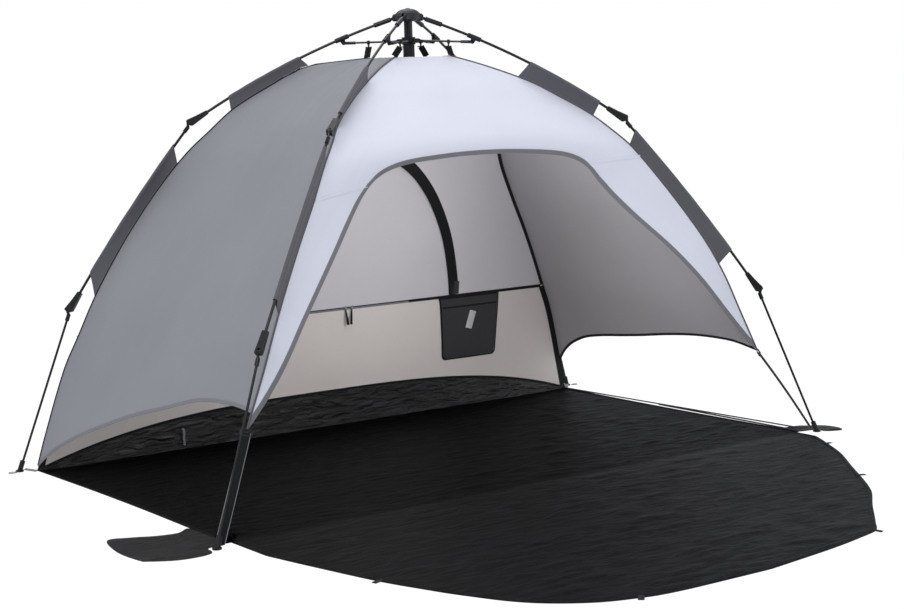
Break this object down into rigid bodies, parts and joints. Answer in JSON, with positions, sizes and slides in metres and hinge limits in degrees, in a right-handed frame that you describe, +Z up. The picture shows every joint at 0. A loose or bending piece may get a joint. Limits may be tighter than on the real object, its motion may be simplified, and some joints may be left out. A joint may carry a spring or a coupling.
{
  "type": "beach tent",
  "caption": "Beach tent: a hub, a sliding runner and jointed legs that fold like an umbrella, with a canopy hung under them, an open arched front, a ground sheet and a door flap laid flat",
  "frame": {"origin": "on the ground under the hub, in the plane of the ground sheet's underside", "axes": "+Z up; the door faces -Y; +X is to the right for someone who looks from the door at the back wall"},
  "size_m": [2.3845, 2.2443, 1.3264],
  "materials": {
    "moulded_black_nylon": "fine moulded grain",
    "black_coated_tube": "satin black coating",
    "white_coated_polyester": "matt woven, coated inside",
    "grey_coated_polyester": "matt woven, silver grey",
    "dark_grey_polyester": "matt woven",
    "beige_polyester": "matt woven",
    "black_woven_polyethylene": "soft sheen, finely crinkled",
    "black_mesh": "open mesh",
    "black_webbing": "woven tape with moulded clips"
  },
  "bodies": {
    "root": {"hub_cap": "moulded_black_nylon", "centre_post": "black_coated_tube", "canopy_front": "white_coated_polyester", "canopy_left": "grey_coated_polyester", "canopy_right": "grey_coated_polyester", "canopy_back": "grey_coated_polyester", "back_wall_lower": "beige_polyester", "pocket": "black_mesh", "floor": "black_woven_polyethylene", "corner_strap_front_left": "black_webbing", "corner_strap_front_right": "black_webbing", "corner_strap_back_left": "black_webbing", "corner_strap_back_right": "black_webbing"},
    "runner_body": {"runner": "moulded_black_nylon"},
    "strut_body_front_left": {"strut_front_left": "black_coated_tube", "hanging_clip_front_left": "black_webbing"},
    "arm_body_front_left": {"arm_front_left": "black_coated_tube", "strut_bracket_front_left": "moulded_black_nylon", "upper_knuckle_front_left": "moulded_black_nylon", "upper_sleeve_front_left": "dark_grey_polyester"},
    "middle_body_front_left": {"middle_pole_front_left": "black_coated_tube", "lower_knuckle_front_left": "moulded_black_nylon", "lower_sleeve_front_left": "dark_grey_polyester"},
    "lower_body_front_left": {"lower_pole_front_left": "black_coated_tube", "foot_front_left": "moulded_black_nylon"},
    "strut_body_front_right": {"strut_front_right": "black_coated_tube", "hanging_clip_front_right": "black_webbing"},
    "arm_body_front_right": {"arm_front_right": "black_coated_tube", "strut_bracket_front_right": "moulded_black_nylon", "upper_knuckle_front_right": "moulded_black_nylon", "upper_sleeve_front_right": "dark_grey_polyester"},
    "middle_body_front_right": {"middle_pole_front_right": "black_coated_tube", "lower_knuckle_front_right": "moulded_black_nylon", "lower_sleeve_front_right": "dark_grey_polyester"},
    "lower_body_front_right": {"lower_pole_front_right": "black_coated_tube", "foot_front_right": "moulded_black_nylon"},
    "strut_body_back_left": {"strut_back_left": "black_coated_tube", "hanging_clip_back_left": "black_webbing"},
    "arm_body_back_left": {"arm_back_left": "black_coated_tube", "strut_bracket_back_left": "moulded_black_nylon", "upper_knuckle_back_left": "moulded_black_nylon", "upper_sleeve_back_left": "dark_grey_polyester"},
    "middle_body_back_left": {"middle_pole_back_left": "black_coated_tube", "lower_knuckle_back_left": "moulded_black_nylon", "lower_sleeve_back_left": "dark_grey_polyester"},
    "lower_body_back_left": {"lower_pole_back_left": "black_coated_tube", "foot_back_left": "moulded_black_nylon"},
    "strut_body_back_right": {"strut_back_right": "black_coated_tube", "hanging_clip_back_right": "black_webbing"},
    "arm_body_back_right": {"arm_back_right": "black_coated_tube", "strut_bracket_back_right": "moulded_black_nylon", "upper_knuckle_back_right": "moulded_black_nylon", "upper_sleeve_back_right": "dark_grey_polyester"},
    "middle_body_back_right": {"middle_pole_back_right": "black_coated_tube", "lower_knuckle_back_right": "moulded_black_nylon", "lower_sleeve_back_right": "dark_grey_polyester"},
    "lower_body_back_right": {"lower_pole_back_right": "black_coated_tube", "foot_back_right": "moulded_black_nylon"},
    "door_flap_body": {"door_flap": "black_woven_polyethylene"}
  },
  "joints": [
    {"name": "fold_front_left", "type": "hinge", "parent": "root", "child": "arm_body_front_left", "pos_m": [-0.02601, -0.01865, 1.3], "axis": [0.5828, -0.8126, 0], "range_deg": [0, 60], "deforming": ["canopy_front", "canopy_left", "canopy_right", "canopy_back", "back_wall_lower", "pocket", "corner_strap_front_left", "corner_strap_front_right", "corner_strap_back_left", "corner_strap_back_right", "hanging_clip_front_left", "hanging_clip_front_right", "hanging_clip_back_left", "hanging_clip_back_right", "upper_sleeve_front_left", "upper_sleeve_front_right", "upper_sleeve_back_left", "upper_sleeve_back_right", "lower_sleeve_front_left", "lower_sleeve_front_right", "lower_sleeve_back_left", "lower_sleeve_back_right"]},
    {"name": "fold_front_right", "type": "hinge", "parent": "root", "child": "arm_body_front_right", "pos_m": [0.02601, -0.01865, 1.3], "axis": [0.5828, 0.8126, 0], "range_deg": [0, 60]},
    {"name": "fold_back_left", "type": "hinge", "parent": "root", "child": "arm_body_back_left", "pos_m": [-0.02751, 0.01634, 1.3], "axis": [-0.5108, -0.8597, 0], "range_deg": [0, 60]},
    {"name": "fold_back_right", "type": "hinge", "parent": "root", "child": "arm_body_back_right", "pos_m": [0.02751, 0.01634, 1.3], "axis": [-0.5108, 0.8597, 0], "range_deg": [0, 60]},
    {"name": "runner_slide", "type": "slide", "parent": "root", "child": "runner_body", "axis": [0, 0, -1], "range_m": [0, 0.2633]},
    {"name": "strut_hinge_front_left", "type": "hinge", "parent": "runner_body", "child": "strut_body_front_left", "pos_m": [-0.01593, -0.02927, 1.23], "axis": [-0.5828, 0.8126, 0], "range_deg": [0, 88.8]},
    {"name": "elbow_front_left", "type": "hinge", "parent": "arm_body_front_left", "child": "middle_body_front_left", "pos_m": [-0.51942, -0.37248, 0.98774], "axis": [-0.6514, 0.7489, 0.1218], "range_deg": [0, 185]},
    {"name": "knee_front_left", "type": "hinge", "parent": "middle_body_front_left", "child": "lower_body_front_left", "pos_m": [-0.87456, -0.56859, 0.45825], "axis": [-0.6175, 0.7763, 0.1267], "range_deg": [0, 180]},
    {"name": "strut_hinge_front_right", "type": "hinge", "parent": "runner_body", "child": "strut_body_front_right", "pos_m": [0.01593, -0.02927, 1.23], "axis": [-0.5828, -0.8126, 0], "range_deg": [0, 88.8]},
    {"name": "elbow_front_right", "type": "hinge", "parent": "arm_body_front_right", "child": "middle_body_front_right", "pos_m": [0.51942, -0.37248, 0.98774], "axis": [-0.6514, -0.7489, -0.1218], "range_deg": [0, 185]},
    {"name": "knee_front_right", "type": "hinge", "parent": "middle_body_front_right", "child": "lower_body_front_right", "pos_m": [0.87456, -0.56859, 0.45825], "axis": [-0.6175, -0.7763, -0.1267], "range_deg": [0, 180]},
    {"name": "strut_hinge_back_left", "type": "hinge", "parent": "runner_body", "child": "strut_body_back_left", "pos_m": [-0.01838, 0.02779, 1.23], "axis": [0.5108, 0.8597, 0], "range_deg": [0, 83.1]},
    {"name": "elbow_back_left", "type": "hinge", "parent": "arm_body_back_left", "child": "middle_body_back_left", "pos_m": [-0.56433, 0.33528, 1.01556], "axis": [0.508, 0.8613, 0.0071], "range_deg": [0, 185]},
    {"name": "knee_back_left", "type": "hinge", "parent": "middle_body_back_left", "child": "lower_body_back_left", "pos_m": [-0.89068, 0.53222, 0.47437], "axis": [0.6772, 0.7211, -0.146], "range_deg": [0, 183]},
    {"name": "strut_hinge_back_right", "type": "hinge", "parent": "runner_body", "child": "strut_body_back_right", "pos_m": [0.01838, 0.02779, 1.23], "axis": [0.5108, -0.8597, 0], "range_deg": [0, 83.1]},
    {"name": "elbow_back_right", "type": "hinge", "parent": "arm_body_back_right", "child": "middle_body_back_right", "pos_m": [0.56433, 0.33528, 1.01556], "axis": [0.508, -0.8613, -0.0071], "range_deg": [0, 185]},
    {"name": "knee_back_right", "type": "hinge", "parent": "middle_body_back_right", "child": "lower_body_back_right", "pos_m": [0.89068, 0.53222, 0.47437], "axis": [0.6772, -0.7211, 0.146], "range_deg": [0, 183]},
    {"name": "door_flap_hinge", "type": "hinge", "parent": "root", "child": "door_flap_body", "pos_m": [0, -0.5989, 0.0012], "axis": [-1, 0, 0], "range_deg": [0, 80]}
  ],
  "couplings": [
    {"joint": "fold_front_right", "follows": "fold_front_left", "ratio": 1},
    {"joint": "fold_back_left", "follows": "fold_front_left", "ratio": 1},
    {"joint": "fold_back_right", "follows": "fold_front_left", "ratio": 1},
    {"joint": "runner_slide", "follows": "fold_front_left", "m_per_rad": 0.25143},
    {"joint": "strut_hinge_front_left", "follows": "fold_front_left", "ratio": 1.48},
    {"joint": "elbow_front_left", "follows": "fold_front_left", "ratio": 3.0833},
    {"joint": "knee_front_left", "follows": "fold_front_left", "ratio": 3},
    {"joint": "strut_hinge_front_right", "follows": "fold_front_left", "ratio": 1.48},
    {"joint": "elbow_front_right", "follows": "fold_front_left", "ratio": 3.0833},
    {"joint": "knee_front_right", "follows": "fold_front_left", "ratio": 3},
    {"joint": "strut_hinge_back_left", "follows": "fold_front_left", "ratio": 1.385},
    {"joint": "elbow_back_left", "follows": "fold_front_left", "ratio": 3.0833},
    {"joint": "knee_back_left", "follows": "fold_front_left", "ratio": 3.05},
    {"joint": "strut_hinge_back_right", "follows": "fold_front_left", "ratio": 1.385},
    {"joint": "elbow_back_right", "follows": "fold_front_left", "ratio": 3.0833},
    {"joint": "knee_back_right", "follows": "fold_front_left", "ratio": 3.05}
  ]
}
